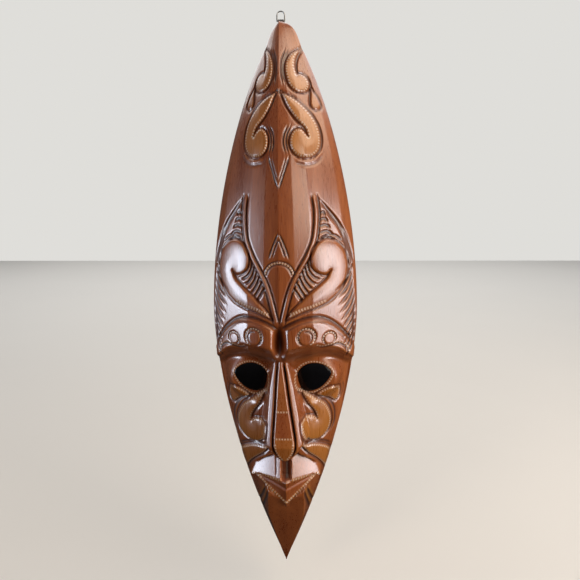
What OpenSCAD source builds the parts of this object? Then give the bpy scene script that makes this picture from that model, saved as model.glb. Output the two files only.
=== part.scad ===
// Carved wooden wall mask: one leaf-shaped piece of wood, hollow behind, with
// two domed black eyes let into pockets and a small loop hanger at the top.
//
// Frame: millimetres. The front faces -Y and the wall plane is y = 0. +Z is up.
// The origin is the hang point: on the wall plane, at the crown of the loop.
// The carving is laid out by x, across from its middle, and s, up from the chin
// tip; h is how far a point stands off the wall plane.

/* [Mask] */
// Height of the wooden mask, chin tip to top tip
mask_len = 500; // [400:5:620]
// Width at the widest line
mask_w = 131; // [108:1:165]
// Depth from the wall plane to the nose
mask_depth = 60; // [50:1:75]
// Height of the widest line above the chin tip
widest_s = 258; // [240:1:280]
// Height of the brow and forehead keel off the wall plane
crown_h = 44; // [38:1:50]
// Height of both tips off the wall plane
tip_h = 8; // [6:0.5:10]
// Thickness of the outer edge
rim_h = 6; // [4:0.5:8]
// How far the carving's middle wanders to the left, from the brow up
sway_up = 3.6; // [0:0.1:4]
// How far it wanders to the right at the mouth
sway_down = 1.5; // [0:0.1:2.5]

/* [Hollow back] */
// Thickness of wood round the hollow
wall = 12; // [9:0.5:15]
// Depth of the hollow behind the face
hollow_depth = 20; // [15:0.5:24]
// Least wood between the hollow and the carved front
skin = 6; // [4:0.5:8]

/* [Brow and nose] */
// Height of the top of the brows above the chin tip
brow_s = 260; // [256:1:264]
// Height of a brow from its lower edge to its top
brow_tall = 29; // [26:1:33]
// Half the distance between the middles of the brows
brow_x = 28; // [24:1:32]
// How far the brows swell
brow_rise = 6; // [3:0.5:8]
// Height of the nose's upper end
nose_top_s = 227; // [222:1:231]
// Height of the nose's widest line, where it stands out furthest
nose_tip_s = 152; // [148:1:156]
// Height of the point at the nose's lower end
nose_base_s = 139; // [136:1:142]
// Width of the nose at its widest line
nose_w = 30; // [26:1:34]

/* [Mouth and chin] */
// Height of the upper lip's edge
lip_s = 113; // [110:1:116]
// Height of the lower lip's edge at its middle
lip_low_s = 87; // [84:1:92]
// Width of the mouth
mouth_w = 68; // [58:1:72]
// How far the upper lip's edge stands off the wall plane
lip_h = 47; // [42:1:52]
// How far the lips fall back from their middle to the corners
lip_bow = 20; // [14:1:24]
// Height of the top of the flat chin
chin_s = 94; // [90:1:96]
// Greatest width of the flat chin
chin_w = 33; // [28:1:40]

/* [Eyes] */
// Height of the eyes above the chin tip
eye_s = 202.5; // [199:0.5:205]
// Half the distance between the eyes
eye_x = 28; // [25:0.5:32]
// Width of an eye
eye_w = 30; // [24:0.5:36]
// Height of an eye
eye_h = 26; // [21:0.5:28]
// How far the pointed outer end of an eye is drawn up
eye_tilt = 5; // [0:0.5:6]
// Depth of the eye pocket
eye_seat = 4; // [3:0.5:5]
// Wood left behind the eye pocket
eye_web = 4; // [3:0.5:6]
// How far an eye's dome stands above the pocket's edge
eye_dome = 3.2; // [2:0.1:4.5]
// Gap between an eye's edge and its pocket
eye_gap = 0.15; // [0.05:0.05:0.4]

/* [Hanger] */
// How far the hanger sits to the left of the middle
hanger_x = 2.5; // [0:0.5:4]
// Width of the strap
strap_w = 6; // [5:0.5:7]
// Length of the strap, from its lower end to the loop's bar
strap_len = 27; // [22:1:32]
// Thickness of the folded strap
strap_t = 1.6; // [1.2:0.1:2]
// Thickness of the strap's metal round the loop's bar
barrel_t = 0.8; // [0.6:0.1:1]
// Height of the loop's bar above the top tip
bar_rise = 3; // [2.6:0.1:4]
// Wire diameter of the loop
wire_d = 1; // [0.8:0.1:1.4]
// Clear width inside the loop
loop_w = 5.4; // [5.2:0.1:8]
// Straight length of the loop's legs
leg_len = 4.2; // [4:0.1:7]
// Radial clearance of the bar in the barrel
bar_gap = 0.06; // [0.03:0.01:0.1]
// Shank diameter of the hanger screws
screw_d = 2; // [1.6:0.1:2.4]
// Head diameter of the hanger screws
screw_head_d = 3.8; // [3.2:0.1:4.6]
// Head height of the hanger screws
screw_head_h = 0.9; // [0.6:0.1:1.1]
// Length of the hanger screws under the head
screw_len = 7; // [5:0.5:9]
// Distance between the hanger screws
screw_pitch = 10; // [8:0.5:12]
// Clearance of the screw holes in the strap
screw_gap = 0.2; // [0.1:0.05:0.4]
// Gap between the strap and the sides of its recess
recess_gap = 0.25; // [0.1:0.05:0.6]

/* [Hidden] */
$fn = 48;

// Colours of the real materials
wood_colour = [0.50, 0.24, 0.10];
eye_colour = [0.02, 0.02, 0.025];
steel_colour = [0.72, 0.71, 0.68];

// Heights off the wall plane that follow from the sizes above
eye_floor = hollow_depth + eye_web;
eye_plane = eye_floor + eye_seat;

// Hanger: the strap lies between strap_back and strap_back + strap_t behind the wood
strap_back = screw_head_h + 0.3;
bar_h = strap_back + strap_t / 2;
bar_s = mask_len + bar_rise;
wire_r = wire_d / 2;
loop_r = loop_w / 2 + wire_r;
barrel_r = wire_r + bar_gap + barrel_t;
hang_s = bar_s + leg_len + loop_w / 2;
screw_top_s = mask_len - 7;

// The grid of the carved surface: rows up the mask and columns across it
face_rows = 52;
brow_rows = 30;
rows = face_rows + brow_rows;
face_top_s = 265;
cols = 40;
hollow_cols = 18;
// How far the solid is carried behind the wall plane before it is cut flat
back_run = 2;
tip_w = 1.2;

// Puts a point of the carving into the part's frame
function at(x, h, s) = [x + hanger_x, -h, s - hang_s];

// ---- Curves ----------------------------------------------------------------

function ramp(a, b, v) = let (t = min(1, max(0, (v - a) / (b - a)))) t * t * (3 - 2 * t);
function mix(a, b, t) = a + (b - a) * t;
// A smooth swelling: 1 in the middle of an ellipse and 0 outside it
function swell(x, s, cx, cs, rx, rs) =
    let (d = pow((x - cx) / rx, 2) + pow((s - cs) / rs, 2))
    d < 1 ? pow(1 - d, 2) : 0;

// How far along its half of the mask a height is: 0 at the widest line, 1 at a tip
function along(s) = s > widest_s
    ? min(1, (s - widest_s) / (mask_len - widest_s))
    : min(1, (widest_s - s) / widest_s);
// Half the mask's width at a height: a leaf, with a blunt top and a pointed chin
function half_w(s) = max(tip_w / 2, mask_w / 2 * (s > widest_s
    ? pow(1 - pow(along(s), 1.8), 0.75 - 2.2 * max(0, along(s) - 0.925))
    : 1 - pow(along(s), 1.7)));
// Height of the vault's middle line, bowed from tip to tip
function crown(s) = tip_h + (crown_h - tip_h) * (1 - pow(along(s), 3.2));
function edge_h(s) = min(rim_h, crown(s) * 0.6);
// The plain leaf-shaped vault
function vault(x, s) =
    let (u = min(1, abs(x) / half_w(s)))
    edge_h(s) + (crown(s) - edge_h(s)) * pow(1 - pow(u, 1.9), 0.75);

// How far a point of the carving is pushed sideways: a hand-cut face isn't quite
// symmetrical, but its outline is
function sway(x, s) =
    let (u = min(1, abs(x) / half_w(s)))
    mix(sway_down, -sway_up, ramp(lip_s, brow_s - 10, s)) * ramp(0, 60, s) * (1 - u * u);

// ---- The face, one feature at a time ----------------------------------------

// Brows: upper and lower edges are arcs that fall faster outwards, with a swelling between
function brow_top(x) = let (out = abs(x) - brow_x)
    brow_s - (out > 0 ? 20 : 11) * pow(out / brow_x, 2);
function brow_low(x) = let (out = abs(x) - brow_x)
    brow_s - brow_tall - (out > 0 ? 15 : 7) * pow(out / (brow_x + 5), 2);
function brows(x, s) =
    let (t = (s - brow_low(x)) / (brow_top(x) - brow_low(x)))
    (t <= 0 || t >= 1 ? 0 : brow_rise * ramp(1, 8, abs(x)) * sqrt(1 - pow(2 * t - 1, 2)))
    - brow_rise * ramp(0, 8, brow_low(x) - s) * ramp(lip_s, eye_s - 7, s)
    - 7 * swell(x, s, 0, brow_s - brow_tall / 2 - 4, 7, 20);
// How far into the pad round an eye a point is: 1 on the almond, 0 outside the socket
function socket(x, s) =
    let (dx = (abs(x) - eye_x) / (eye_w / 2), ds = (s - eye_s) / (eye_h / 2))
    1 - ramp(1.12, 1.9, sqrt(dx * dx + ds * ds));
// Nose: height of its middle line, and its half width
function nose_line(s) = s > nose_tip_s
    ? mix(mask_depth, crown_h - 5, (s - nose_tip_s) / (nose_top_s - nose_tip_s))
    : mix(mask_depth, mask_depth - 2, (nose_tip_s - s) / (nose_tip_s - nose_base_s));
function nose_half(s) = s > nose_tip_s
    ? mix(nose_w / 2, 4, (s - nose_tip_s) / (nose_top_s - nose_tip_s))
    : mix(nose_w / 2, 3, pow((nose_tip_s - s) / (nose_tip_s - nose_base_s), 2));
function on_nose(x, s) = (s > nose_top_s || s < nose_base_s) ? 0
    : 1 - ramp(0.45, 1, abs(x) / nose_half(s));
// Mouth: a sloping shelf down to the upper lip's edge, a band down to the lower lip's
// pointed edge, and an underside that meets the chin; it falls back in two flat planes
function lip_edge(x) = lip_s - 6 * pow(abs(x) / 33, 4);
function lip_low(x) = lip_low_s + 0.8 * abs(x);
function lip_front(x) = lip_h - lip_bow * abs(x) / (mouth_w / 2);
function lips(x, s) =
    let (edge = lip_edge(x), low = min(edge, lip_low(x)), face = lip_front(x))
    s > edge ? face - 0.5 * (s - edge)
    : s > low ? face - 0.2 * (edge - s)
    : max(chin(x, s),
          face - 0.2 * (edge - low) - (0.6 + 0.15 * max(0, abs(x) - 10)) * (low - s));
function mouth_half(s) =
    let (t = min(1, max(0, s - lip_s + 4) / 25))
    mix(12, mouth_w / 2, 1 - pow(t, 1.7));
function on_mouth(x, s) = (s < chin_s - 10 || s > nose_base_s - 3) ? 0
    : ramp(-3, 6, mouth_half(s) - abs(x));
// Chin: a flat triangle with a bevel down each side, wide near the tip as well
function chin_half(s) = min(0.62 * half_w(s), chin_w / 2);
function chin_flat(s) = mix(tip_h, lip_h - 6, min(1, s / chin_s));
function chin(x, s) =
    let (over = max(0, abs(x) - chin_half(s)), run = max(1, half_w(s) - chin_half(s)))
    mix(chin_flat(s), edge_h(s), min(1, over / run));
function on_chin(s) = 1 - ramp(chin_s - 12, chin_s + 4, s);

// Height of the carved front above the wall plane
function front(x, s) =
    let (plain = vault(x, s) + brows(x, s),
         cheeks = mix(plain, chin(x, s), on_chin(s)),
         mouth = mix(cheeks, lips(x, s), on_mouth(x, s)),
         sockets = mix(mouth, eye_plane, socket(x, s)))
    mix(sockets, max(sockets, nose_line(s)), on_nose(x, s));

// Depth of the hollow, never nearer to the front than the skin
function hollow_half(s) = max(tip_w / 4, half_w(s) - wall);
function hollow(x, s) =
    let (u = min(1, abs(x) / hollow_half(s)), end = min(1, hollow_half(s) / 22))
    max(0.2, min(hollow_depth * end * pow(1 - pow(u, 2.4), 0.6), front(x, s) - skin));

// ---- Mesh of the wooden piece ------------------------------------------------

// Above the face the rows draw closer together towards the blunt top
function row_s(i) = i <= face_rows
    ? face_top_s * i / face_rows
    : let (t = (i - face_rows) / brow_rows)
        face_top_s + (mask_len - face_top_s) * mix(t, sin(90 * t), 0.6);
// Columns stand closer together in the middle, where the nose is
function spread(k, n) = let (t = 2 * k / n - 1) sign(t) * pow(abs(t), 1.25);

// One row of the front, from behind the left edge to behind the right edge
function front_row(s) = concat(
    [at(-half_w(s), -back_run, s)],
    [for (k = [0:cols]) let (x = half_w(s) * spread(k, cols))
        at(x + sway(x, s), front(x, s), s)],
    [at(half_w(s), -back_run, s)]);
function hollow_row(s) = concat(
    [at(-hollow_half(s), -back_run, s)],
    [for (k = [0:hollow_cols]) let (x = hollow_half(s) * (2 * k / hollow_cols - 1))
        at(x + sway(x, s), hollow(x, s), s)],
    [at(hollow_half(s), -back_run, s)]);

// Closed skin over a stack of rows that all have n points
function skin_faces(m, n) = concat(
    [for (i = [0:m - 2], k = [0:n - 2]) [i * n + k, (i + 1) * n + k, i * n + k + 1]],
    [for (i = [0:m - 2], k = [0:n - 2])
        [i * n + k + 1, (i + 1) * n + k, (i + 1) * n + k + 1]],
    [for (i = [0:m - 2]) [i * n, i * n + n - 1, (i + 1) * n + n - 1]],
    [for (i = [0:m - 2]) [i * n, (i + 1) * n + n - 1, (i + 1) * n]],
    [for (k = [1:n - 2]) [0, k, k + 1]],
    [for (k = [1:n - 2]) [(m - 1) * n, (m - 1) * n + k + 1, (m - 1) * n + k]]);
module stack(point_rows) {
    m = len(point_rows);
    n = len(point_rows[0]);
    polyhedron([for (r = point_rows) each r], skin_faces(m, n));
}

// ---- Eyes --------------------------------------------------------------------

// Almond, pointed at its outer end, which is +X here and drawn up. The point takes
// height away, and the 1.1 gives it back.
module almond(grow) {
    a = eye_w / 2 + grow;
    b = eye_h / 2 + grow;
    polygon([for (i = [0:55]) let (t = 360 * i / 56)
        [a * cos(t), 1.1 * b * sin(t) * pow(abs(sin(t / 2)), 0.35)
            + eye_tilt * pow((1 + cos(t)) / 2, 2)]]);
}
// The middle of the left eye, side = -1, or of the right eye, side = 1
function eye_mid(side, h) = at(side * eye_x + sway(eye_x, eye_s), h, eye_s);
// A prism of the almond between two heights off the wall plane
module eye_prism(side, grow, low, high) {
    translate(eye_mid(side, low))
        rotate([90, 0, 0])
        linear_extrude(high - low)
        scale_side(side)
        almond(grow);
}
module scale_side(side) {
    if (side < 0) mirror([1, 0]) children();
    else children();
}
// The dome is part of a ball that meets the pocket's edge at the almond's ends
module eye_inlay(side) {
    dome_r = (pow(eye_w / 2, 2) + pow(eye_dome, 2)) / (2 * eye_dome);
    intersection() {
        eye_prism(side, -eye_gap, eye_floor, eye_plane + eye_dome + 1);
        translate(eye_mid(side, eye_plane + eye_dome - dome_r))
            sphere(dome_r, $fn = 96);
    }
}

// ---- Hanger ------------------------------------------------------------------

// A round bar across the wall plane, from height low to height high
module peg(r, s, low, high) {
    translate(at(-hanger_x, low, s)) rotate([90, 0, 0]) cylinder(h = high - low, r = r);
}
module screw_holes(r, low, high) {
    for (i = [0:1]) peg(r, screw_top_s - i * screw_pitch, low, high);
}
// A block that lies behind the tip, as wide as the strap and a gap on each side
module strap_block(gap, low, high, top) {
    bottom = bar_s - strap_len - gap;
    translate(at(-hanger_x - strap_w / 2 - gap, high, bottom))
        cube([strap_w + 2 * gap, high - low, top - bottom]);
}

// ---- The pieces --------------------------------------------------------------

module mask_shell() color(wood_colour) difference() {
    stack([for (i = [0:rows]) front_row(row_s(i))]);
    stack([for (i = [0:rows]) if (half_w(row_s(i)) > wall + 1.5) hollow_row(row_s(i))]);
    translate([-mask_w, 0, -hang_s - 1])
        cube([2 * mask_w, back_run + 1, mask_len + 2]);
    for (side = [-1, 1]) eye_prism(side, 0, eye_floor, mask_depth + 20);
    strap_block(recess_gap, -back_run, strap_back + strap_t, mask_len + 1);
    screw_holes(screw_d / 2, 0, strap_back + screw_len);
}
module left_eye_inlay() color(eye_colour) eye_inlay(-1);
module right_eye_inlay() color(eye_colour) eye_inlay(1);

module hanger_strap() color(steel_colour) difference() {
    union() {
        strap_block(0, strap_back, strap_back + strap_t, bar_s);
        translate(at(-hanger_x - strap_w / 2 + 0.6, bar_h, bar_s))
            rotate([0, 90, 0]) cylinder(h = strap_w - 1.2, r = barrel_r);
    }
    translate(at(-hanger_x - strap_w, bar_h, bar_s))
        rotate([0, 90, 0]) cylinder(h = 2 * strap_w, r = wire_r + bar_gap);
    // The strap narrows above the wood so that the loop's legs clear it
    for (side = [-1, 1])
        translate(at(-hanger_x + side * strap_w / 2 - 0.6, bar_h + barrel_r, bar_s - wire_d - 0.6))
            cube([1.2, 2 * barrel_r, wire_d * 2 + barrel_r]);
    screw_holes(screw_d / 2 + screw_gap, strap_back - 1, strap_back + strap_t + 1);
}

// The loop: a straight bar through the barrel, two legs and a half-round crown
module hanger_ring() color(steel_colour) translate(at(-hanger_x, bar_h, bar_s)) {
    translate([-loop_r, 0, 0]) rotate([0, 90, 0]) cylinder(h = 2 * loop_r, r = wire_r);
    for (side = [-1, 1]) {
        translate([side * loop_r, 0, 0]) sphere(wire_r);
        translate([side * loop_r, 0, 0]) cylinder(h = leg_len, r = wire_r);
    }
    translate([0, 0, leg_len]) rotate([90, 0, 0])
        rotate_extrude(angle = 180) translate([loop_r, 0]) circle(wire_r);
}

module hanger_screws() color(steel_colour) {
    screw_holes(screw_d / 2, strap_back, strap_back + screw_len);
    screw_holes(screw_head_d / 2, strap_back - screw_head_h, strap_back);
}

mask_shell();
left_eye_inlay();
right_eye_inlay();
hanger_strap();
hanger_ring();
hanger_screws();
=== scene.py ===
"""Carved wooden wall mask, built round its CAD frame.

The carving is one closed surface, worked out on a grid: x runs across from the
mask's middle, s up from the chin tip, and h off the wall plane, all in
millimetres. The large forms come first, then each cut and each raised panel is
laid on them by its distance from a drawn line.
"""

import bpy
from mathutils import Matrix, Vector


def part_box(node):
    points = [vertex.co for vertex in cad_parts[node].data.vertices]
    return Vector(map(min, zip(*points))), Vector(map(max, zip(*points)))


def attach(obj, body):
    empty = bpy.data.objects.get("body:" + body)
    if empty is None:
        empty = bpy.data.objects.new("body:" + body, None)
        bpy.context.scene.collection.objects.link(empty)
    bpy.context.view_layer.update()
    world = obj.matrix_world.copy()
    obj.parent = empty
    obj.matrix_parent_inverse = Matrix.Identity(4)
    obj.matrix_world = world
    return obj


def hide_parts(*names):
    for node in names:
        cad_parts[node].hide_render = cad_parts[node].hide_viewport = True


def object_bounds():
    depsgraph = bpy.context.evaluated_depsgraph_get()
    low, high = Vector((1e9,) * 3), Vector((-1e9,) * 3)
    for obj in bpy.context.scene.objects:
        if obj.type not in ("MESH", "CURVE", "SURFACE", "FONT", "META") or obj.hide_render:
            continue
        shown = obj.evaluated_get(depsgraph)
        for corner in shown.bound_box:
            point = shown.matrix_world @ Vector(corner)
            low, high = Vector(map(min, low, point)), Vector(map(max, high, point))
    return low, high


bl_info = {
    "name": "Carved wall mask",
    "version": (1, 0, 0),
    "blender": (4, 5, 0),
    "location": "View3D > Sidebar > Mask",
    "description": "Builds a carved and varnished wooden wall mask with its hanger",
    "category": "Add Mesh",
}

from math import radians

import bmesh
import bpy
import numpy as np
from bpy.props import FloatProperty, FloatVectorProperty, PointerProperty
from mathutils import Vector

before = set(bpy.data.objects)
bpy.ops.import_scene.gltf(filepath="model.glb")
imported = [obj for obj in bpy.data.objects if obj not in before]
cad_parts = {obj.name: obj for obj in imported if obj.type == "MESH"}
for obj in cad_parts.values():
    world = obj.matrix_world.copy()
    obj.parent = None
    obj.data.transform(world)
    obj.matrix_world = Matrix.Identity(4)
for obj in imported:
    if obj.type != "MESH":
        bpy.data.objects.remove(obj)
CAD_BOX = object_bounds()

MM = 0.001
SHELL_LOW, SHELL_HIGH = (np.array(c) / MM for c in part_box("mask_shell"))
MASK_LEN = SHELL_HIGH[2] - SHELL_LOW[2]
HALF_W = (SHELL_HIGH[0] - SHELL_LOW[0]) / 2
MASK_DEPTH = -SHELL_LOW[1]
MID_X = (SHELL_HIGH[0] + SHELL_LOW[0]) / 2
CHIN_Z = SHELL_LOW[2]

# Sizes that the CAD model gives and this one follows, in millimetres
WIDEST = 258
CROWN_H = 44
TIP_H = 8
RIM_H = 6
WALL = 12
HOLLOW = 20
SKIN = 6
BROW_S = 260
BROW_TALL = 29
BROW_X = 28
EYE_PLANE = 28
EYE_FLOOR = 24
EYE_X = 28
EYE_S = 202.5
EYE_W = 30
EYE_H = 26
EYE_TILT = 5
EYE_DOME = 3.2
LIP_H = 47
LIP_BOW = 20
LIP_S = 113
LIP_LOW_S = 87
MOUTH_W = 68
CHIN_S = 94
CHIN_W = 33
NOSE_TIP_S = 152
NOSE_TOP_S = 227
NOSE_END_S = 139
SWAY_UP = 3.6
SWAY_DOWN = 1.5
# The chin's flat, as a share of the mask's width at its height
CHIN_SHARE = 0.62

# This model's own sizes, in millimetres: how far the brows stand out, the depths of the
# cleft between them and of the cut round a panel, and the glass's edge and underside
BROW_RISE = 6.5
CLEFT = 7
MOAT = 1.4
EYE_RIM = EYE_PLANE + 0.2
EYE_UNDER = EYE_FLOOR + 0.3
# Half the floor's side, and how far it lies below the mask, in metres
FLOOR_HALF = 3.0
FLOOR_DROP = 0.03


# ---- Curves and distances ---------------------------------------------------------

def ramp(a, b, v):
    """0 at a and 1 at b, with a smooth start and end: 3t^2 - 2t^3."""
    t = np.clip((v - a) / (b - a), 0, 1)
    return t * t * (3 - 2 * t)


def mix(a, b, t):
    return a + (b - a) * t


def swell(x, s, cx, cs, rx, rs):
    """A smooth hump, (1 - d^2)^2, on an ellipse, and 0 outside it."""
    d = ((x - cx) / rx) ** 2 + ((s - cs) / rs) ** 2
    return np.clip(1 - d, 0, None) ** 2


def curve(points, closed=False, fine=7):
    """A smooth line through the points. Each stretch is the cubic whose slope at
    a point is half the way between its neighbours. A point given twice is a corner."""
    p = np.array(points, float)
    if closed:
        p = np.vstack([p[-1], p, p[0], p[1]])
    else:
        p = np.vstack([2 * p[0] - p[1], p, 2 * p[-1] - p[-2]])
    a, b, c, d = p[:-3, None], p[1:-2, None], p[2:-1, None], p[3:, None]
    t = np.linspace(0, 1, fine, endpoint=False)[None, :, None]
    line = 0.5 * (2 * b + (c - a) * t + (2 * a - 5 * b + 4 * c - d) * t ** 2
                  + (3 * b - a - 3 * c + d) * t ** 3)
    line = np.vstack([line.reshape(-1, 2), p[-2]])
    keep = np.r_[True, np.hypot(*np.diff(line, axis=0).T) > 1e-6]
    return line[keep]


def near(line, x, s):
    """Distance from each point to the line, and how far along the line that is."""
    a, step = line[:-1], np.diff(line, axis=0)
    size = np.hypot(step[:, 0], step[:, 1])
    start = np.r_[0, np.cumsum(size)[:-1]]
    dx, ds = x[:, None] - a[:, 0], s[:, None] - a[:, 1]
    t = np.clip((dx * step[:, 0] + ds * step[:, 1]) / size ** 2, 0, 1)
    gap = np.hypot(dx - t * step[:, 0], ds - t * step[:, 1])
    k = gap.argmin(axis=1)
    row = np.arange(len(k))
    return gap[row, k], start[k] + t[row, k] * size[k], size.sum()


def inside(line, x, s):
    """True inside a closed line: a ray to the right crosses it an odd number of times."""
    x0, s0, x1, s1 = line[:-1, 0], line[:-1, 1], line[1:, 0], line[1:, 1]
    x, s = x[:, None], s[:, None]
    spans = (s0 > s) != (s1 > s)
    rise = np.where(s1 == s0, 1, s1 - s0)
    return (spans & (x < x0 + (s - s0) / rise * (x1 - x0))).sum(axis=1) % 2 == 1


# ---- Large forms -----------------------------------------------------------------------

def along(s):
    """How far a height is along its half of the mask: 0 at the widest line."""
    up = (s - WIDEST) / (MASK_LEN - WIDEST)
    return np.clip(np.where(s > WIDEST, up, (WIDEST - s) / WIDEST), 0, 1)


def half_width(s):
    """A leaf: W (1 - t^1.8)^0.75 above the widest line, with the power falling near
    the blunt top, and W (1 - t^1.7) below it."""
    t = along(s)
    power = 0.75 - 2.2 * np.clip(t - 0.925, 0, None)
    leaf = np.where(s > WIDEST, np.clip(1 - t ** 1.8, 0, 1) ** power, 1 - t ** 1.7)
    return np.maximum(0.6, HALF_W * leaf)


def crown(s):
    """Height of the middle: tip + (crown - tip) (1 - t^3.2)."""
    return TIP_H + (CROWN_H - TIP_H) * (1 - along(s) ** 3.2)


def edge_height(s):
    """Height of the front at its outline: the rim, or less near the two tips."""
    return np.minimum(RIM_H, crown(s) * 0.6)


def sway(x, s):
    """How far the carver's middle wanders: left above the brow, right at the mouth."""
    u = np.clip(np.abs(x) / half_width(s), 0, 1)
    middle = mix(SWAY_DOWN, -SWAY_UP, ramp(LIP_S, 251, s)) * ramp(0, 60, s)
    return middle * (1 - u * u)


def brow_top(x):
    """A brow's upper edge: an arc of x squared that falls faster outwards."""
    out = x - BROW_X
    return BROW_S - np.where(out > 0, 20, 11) * (out / BROW_X) ** 2


def brow_low(x):
    """A brow's lower edge: a flatter arc of the same kind."""
    out = x - BROW_X
    return BROW_S - BROW_TALL - np.where(out > 0, 15, 7) * (out / (BROW_X + 5)) ** 2


def vault(x, s):
    """The leaf-shaped vault: edge + (crown - edge) (1 - u^1.9)^0.75, sharpening to a
    ridge near the top, and cut four fifths of the way to flats that meet on the lines
    u = 0, 0.2, 0.42 and 0.86."""
    power = mix(1.9, 1.2, ramp(410, 485, s))

    def bow(u):
        return (1 - u ** power) ** 0.75
    u = np.clip(x / half_width(s), 0, 1)
    flat = sum(np.where((u >= a) & (u < b), mix(bow(a), bow(b), (u - a) / (b - a)), 0)
               for a, b in ((0, 0.2), (0.2, 0.42), (0.42, 0.86)))
    shape = np.where(u < 0.86, mix(bow(u), flat, 0.8), bow(u))
    return edge_height(s) + (crown(s) - edge_height(s)) * shape


def add_brows(h, x, s):
    """Each brow stands out between its two arcs: a soft lower edge, a face that leans
    back, and a ledge on top. The socket under it falls away in a cove, and a cleft
    parts the brows."""
    t = (s - brow_low(x)) / (brow_top(x) - brow_low(x))
    round_over = ramp(-0.05, 0.3, t) * (1 - 0.35 * np.clip(t - 0.25, 0, 1)) * ramp(1.03, 0.9, t)
    h = h + BROW_RISE * ramp(1, 8, x) * round_over
    h = h - BROW_RISE * ramp(0, 10, brow_low(x) - s) * ramp(LIP_S, EYE_S - 7, s)
    return h - CLEFT * swell(x, s, 0, 238, 6.5, 21)


def chin_flat(s):
    """Half width of the chin's flat triangle."""
    return np.minimum(CHIN_SHARE * half_width(s), CHIN_W / 2)


def chin_form(x, s):
    """A flat triangle down to the tip, with a steep bevel from it to each edge."""
    flat_half = chin_flat(s)
    flat = mix(TIP_H, LIP_H - 6, np.clip(s / CHIN_S, 0, 1)) - 0.05 * x
    over = np.clip(x - flat_half, 0, None)
    run = np.maximum(1, half_width(s) - flat_half)
    return mix(flat, edge_height(s), np.clip(over / run, 0, 1) ** 0.9)


def add_chin(h, x, s):
    return mix(h, chin_form(x, s), 1 - ramp(CHIN_S - 12, CHIN_S + 4, s))


def lip_edge(x):
    """The upper lip's edge, level in the middle and drooping as x^4."""
    return LIP_S - 6 * (x / 33) ** 4


def lip_low(x):
    """The lower lip's edge: a straight V that meets the upper lip at the corners."""
    return np.minimum(lip_edge(x), LIP_LOW_S + 0.8 * x)


def add_mouth(h, x, s):
    """A sloping shelf down to the upper lip's edge, then a band with the line of the
    mouth in it, pointed below, and an underside that meets the chin. The mouth falls
    back to each corner in a flat plane, by LIP_BOW over half its width."""
    edge, low = lip_edge(x), lip_low(x)
    face = LIP_H - LIP_BOW * x / (MOUTH_W / 2)
    shelf = face - 0.5 * (s - edge)
    parting = mix(edge, low, 0.35)
    band = face - 0.2 * (edge - s)
    band = band - 1.8 * np.exp(-((s - parting) / 1.5) ** 2)
    band = band + 0.8 * np.exp(-((s - low - 1.2) / 1.3) ** 2)
    under = face - 0.2 * (edge - low) - (0.7 + 0.15 * np.clip(x - 10, 0, None)) * (low - s)
    lips = np.where(s > edge, shelf, np.where(s > low, band, np.maximum(chin_form(x, s), under)))
    reach = 1 - np.clip((s - LIP_S + 4) / 25, 0, 1) ** 1.7
    half = mix(12, MOUTH_W / 2, reach)
    on = ramp(0, 2.4, half - x) * (s > CHIN_S - 12) * ramp(NOSE_END_S, NOSE_END_S - 4, s)
    h = mix(h, lips, on)
    groove = ramp(5.4, 3.6, x) * ramp(110.5, 114, s) * ramp(136, 132, s)
    return h - 7.5 * groove


def add_sockets(h, x, s):
    """A low pad round each eye, flat where the eye is let in."""
    d = np.hypot((x - EYE_X) / (EYE_W / 2), (s - EYE_S) / (EYE_H / 2))
    return mix(h, EYE_PLANE + 0 * d, 1 - ramp(1.12, 1.9, d))


def nose_flat(s):
    """Half width of the nose's long kite-shaped flat."""
    return np.interp(s, [NOSE_END_S, 141, 144, 148, 153, 160, 185, 205, NOSE_TOP_S],
                     [0, 2.8, 5.2, 7.4, 8.4, 8.0, 5, 3, 0.3])


def nose_side(s):
    """Half width of the nose with its two bands."""
    return np.interp(s, [NOSE_END_S, 141, 144, 148, 152, 156, 160, 180, 200, 220, NOSE_TOP_S],
                     [2.5, 6, 9.3, 12.4, 14.4, 15, 14.8, 12.5, 9.8, 5.5, 2.5])


def add_nose(h, x, s):
    """The flat, a groove beside it, a sloping band, and a steep side down to the face."""
    line = np.interp(s, [NOSE_END_S, NOSE_TIP_S, NOSE_TOP_S],
                     [MASK_DEPTH - 2, MASK_DEPTH, 39])
    flat, side = nose_flat(s), nose_side(s)
    off = x - flat
    section = line - 0.56 * np.clip(off, 0, None)
    section = section - 3.0 * np.exp(-((off - 1.3) / 0.9) ** 2) * ramp(NOSE_END_S, 150, s)
    section = section - 2.4 * np.clip(x - side, 0, None)
    section = section - 5 * np.clip(NOSE_END_S - s, 0, None)
    on = ramp(128, 131, s) * ramp(NOSE_TOP_S + 3, NOSE_TOP_S - 1, s)
    return mix(h, np.maximum(h, section), on)


def face_form(x, s):
    """Height of the mask before any pattern is cut; x is the distance from the middle."""
    h = vault(x, s)
    h = h + 2.5 * np.clip(1 - x / 26, 0, None) * ramp(250, 275, s)
    h = add_brows(h, x, s)
    h = add_chin(h, x, s)
    h = add_mouth(h, x, s)
    h = add_sockets(h, x, s)
    return add_nose(h, x, s)


# ---- The pattern -------------------------------------------------------------------------

def by_hand(side, x, s):
    """Where a point lies on the drawing. The left half isn't cut quite as drawn: the top
    scrolls are narrower there, and the cheek's are wider and lower."""
    if side > 0:
        return x, s
    cheek = swell(x, s, -30, 160, 90, 45) * ramp(8, 18, -x)
    return -x * (1 + 0.09 * ramp(370, 395, s) - 0.05 * cheek), s + 3 * cheek


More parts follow.
